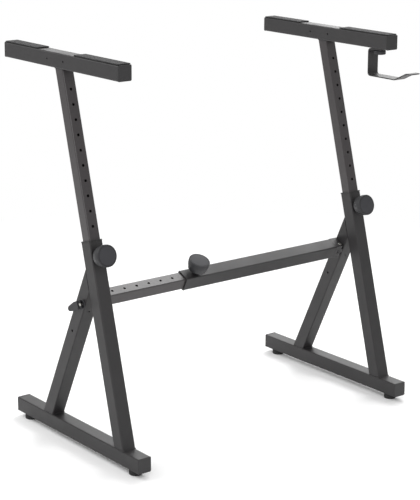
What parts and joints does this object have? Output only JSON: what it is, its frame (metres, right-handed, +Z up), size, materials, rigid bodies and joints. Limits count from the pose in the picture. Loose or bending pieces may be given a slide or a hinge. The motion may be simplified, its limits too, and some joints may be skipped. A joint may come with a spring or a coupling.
{
  "type": "keyboard stand",
  "caption": "Folding Z-shaped keyboard stand of square steel tube with telescopic crossbar, height posts, rest arms with rubber pads and a headphone hanger.",
  "frame": {"origin": "on the floor under the middle of the stand's box", "axes": "+Z up, +X to the player's right side frame, +Y from the player to the rear"},
  "size_m": [0.94, 0.5865, 1.0021],
  "materials": {
    "powder_coated_steel": "satin",
    "zinc_steel": "satin",
    "moulded_plastic": "matte",
    "cap_plastic": "matte",
    "rubber": "matte"
  },
  "bodies": {
    "left_frame": {"left_cam_washer": "moulded_plastic", "left_draw_bolt": "zinc_steel", "left_foot_bar": "powder_coated_steel", "left_foot_cap_front": "cap_plastic", "left_foot_cap_rear": "cap_plastic", "left_front_leg": "powder_coated_steel", "left_hinge_lug": "powder_coated_steel", "left_knob_boss": "powder_coated_steel", "left_leg_bushing": "cap_plastic", "left_lever_pin": "zinc_steel", "left_rear_leg": "powder_coated_steel", "left_rubber_foot_front": "rubber", "left_rubber_foot_rear": "rubber"},
    "crossbar_inner": {"crossbar_inner_tube": "powder_coated_steel", "left_hinge_block": "powder_coated_steel", "left_hinge_pin": "zinc_steel"},
    "crossbar_outer": {"crossbar_bushing": "cap_plastic", "crossbar_knob_boss": "powder_coated_steel", "crossbar_outer_tube": "powder_coated_steel", "right_hinge_block": "powder_coated_steel", "right_hinge_pin": "zinc_steel"},
    "right_frame": {"right_cam_washer": "moulded_plastic", "right_draw_bolt": "zinc_steel", "right_foot_bar": "powder_coated_steel", "right_foot_cap_front": "cap_plastic", "right_foot_cap_rear": "cap_plastic", "right_front_leg": "powder_coated_steel", "right_hinge_lug": "powder_coated_steel", "right_knob_boss": "powder_coated_steel", "right_leg_bushing": "cap_plastic", "right_lever_pin": "zinc_steel", "right_rear_leg": "powder_coated_steel", "right_rubber_foot_front": "rubber", "right_rubber_foot_rear": "rubber"},
    "left_post": {"left_arm": "powder_coated_steel", "left_arm_cap_front": "cap_plastic", "left_arm_cap_rear": "cap_plastic", "left_pad_front": "rubber", "left_pad_rear": "rubber", "left_post": "powder_coated_steel"},
    "right_post": {"headphone_hanger": "powder_coated_steel", "right_arm": "powder_coated_steel", "right_arm_cap_front": "cap_plastic", "right_arm_cap_rear": "cap_plastic", "right_pad_front": "rubber", "right_pad_rear": "rubber", "right_post": "powder_coated_steel"},
    "hanger_screw": {"hanger_knob": "moulded_plastic"},
    "crossbar_plunger": {"crossbar_knob_pin": "zinc_steel"},
    "crossbar_knob": {"crossbar_knob": "moulded_plastic"},
    "left_plunger": {"left_knob_pin": "zinc_steel"},
    "left_knob": {"left_knob": "moulded_plastic"},
    "left_lever": {"left_lock_lever": "moulded_plastic"},
    "right_plunger": {"right_knob_pin": "zinc_steel"},
    "right_knob": {"right_knob": "moulded_plastic"},
    "right_lever": {"right_lock_lever": "moulded_plastic"}
  },
  "joints": [
    {"name": "left_fold", "type": "hinge", "parent": "left_frame", "child": "crossbar_inner", "pos_m": [-0.403, -0.04691, 0.38532], "axis": [0, -0.4305, 0.9026], "range_deg": [-90, 0]},
    {"name": "width_slide", "type": "slide", "parent": "crossbar_inner", "child": "crossbar_outer", "axis": [-1, 0, 0], "range_m": [0, 0.225]},
    {"name": "right_fold", "type": "hinge", "parent": "crossbar_outer", "child": "right_frame", "pos_m": [0.403, -0.04691, 0.38532], "axis": [0, -0.4305, 0.9026], "range_deg": [-90, 0]},
    {"name": "left_height_slide", "type": "slide", "parent": "left_frame", "child": "left_post", "axis": [0, 0.2588, 0.9659], "range_m": [-0.4125, 0]},
    {"name": "left_plunger_slide", "type": "slide", "parent": "left_frame", "child": "left_plunger", "axis": [0, 0.9659, -0.2588], "range_m": [0, 0.007]},
    {"name": "left_knob_turn", "type": "hinge", "parent": "left_plunger", "child": "left_knob", "pos_m": [-0.432, -0.08993, 0.51468], "axis": [0, 0.9659, -0.2588], "range_deg": [0, 270]},
    {"name": "left_lever_flip", "type": "hinge", "parent": "left_frame", "child": "left_lever", "pos_m": [-0.4612, -0.04777, 0.38712], "axis": [0, 0.4384, 0.8988], "range_deg": [0, 95]},
    {"name": "right_height_slide", "type": "slide", "parent": "right_frame", "child": "right_post", "axis": [0, 0.2588, 0.9659], "range_m": [-0.4125, 0]},
    {"name": "right_plunger_slide", "type": "slide", "parent": "right_frame", "child": "right_plunger", "axis": [0, 0.9659, -0.2588], "range_m": [0, 0.007]},
    {"name": "right_knob_turn", "type": "hinge", "parent": "right_plunger", "child": "right_knob", "pos_m": [0.432, -0.08993, 0.51468], "axis": [0, 0.9659, -0.2588], "range_deg": [0, 270]},
    {"name": "right_lever_flip", "type": "hinge", "parent": "right_frame", "child": "right_lever", "pos_m": [0.4612, -0.04777, 0.38712], "axis": [0, -0.4384, -0.8988], "range_deg": [0, 95]},
    {"name": "crossbar_plunger_slide", "type": "slide", "parent": "crossbar_outer", "child": "crossbar_plunger", "axis": [0, 0.4305, -0.9026], "range_m": [0, 0.007]},
    {"name": "crossbar_knob_turn", "type": "hinge", "parent": "crossbar_plunger", "child": "crossbar_knob", "pos_m": [-0.098, -0.04607, 0.40677], "axis": [0, 0.4305, -0.9026], "range_deg": [0, 270]},
    {"name": "hanger_screw_turn", "type": "hinge", "parent": "right_post", "child": "hanger_screw", "pos_m": [0.432, -0.1609, 0.96085], "axis": [0, 0, 1], "range_deg": [0, 270]}
  ]
}
